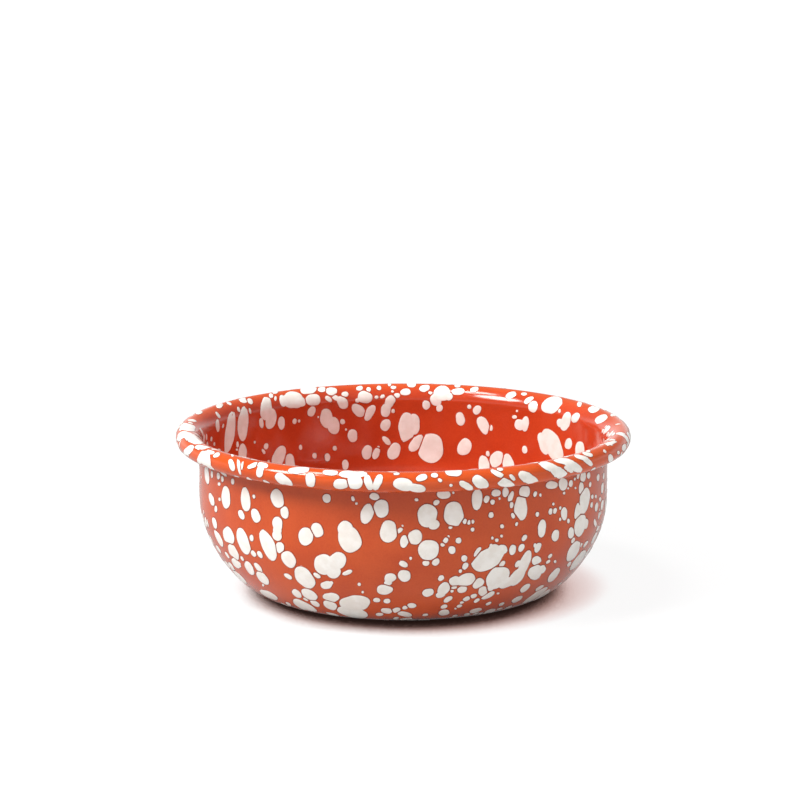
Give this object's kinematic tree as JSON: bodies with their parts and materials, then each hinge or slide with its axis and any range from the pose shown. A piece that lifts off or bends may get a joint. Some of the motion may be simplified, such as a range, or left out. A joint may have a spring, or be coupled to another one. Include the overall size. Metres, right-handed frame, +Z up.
{
  "type": "enamel bowl",
  "caption": "Round enamelled steel bowl with a flat base, rounded flank, upright wall and thick rolled rim, orange glaze with cream splatter, for food or mixing.",
  "frame": {"origin": "on the bowl's axis, at the level of the foot ring that it stands on", "axes": "+Z up along the bowl's axis; the bowl is round, so X and Y are any two level directions, with -Y towards the picture's camera"},
  "size_m": [0.159, 0.159, 0.057],
  "materials": {
    "enamel": "gloss",
    "steel": "satin"
  },
  "bodies": {
    "root": {"steel_shell": "steel", "base_enamel": "enamel", "outer_enamel": "enamel", "inner_enamel": "enamel", "rim_enamel": "enamel"}
  },
  "joints": []
}
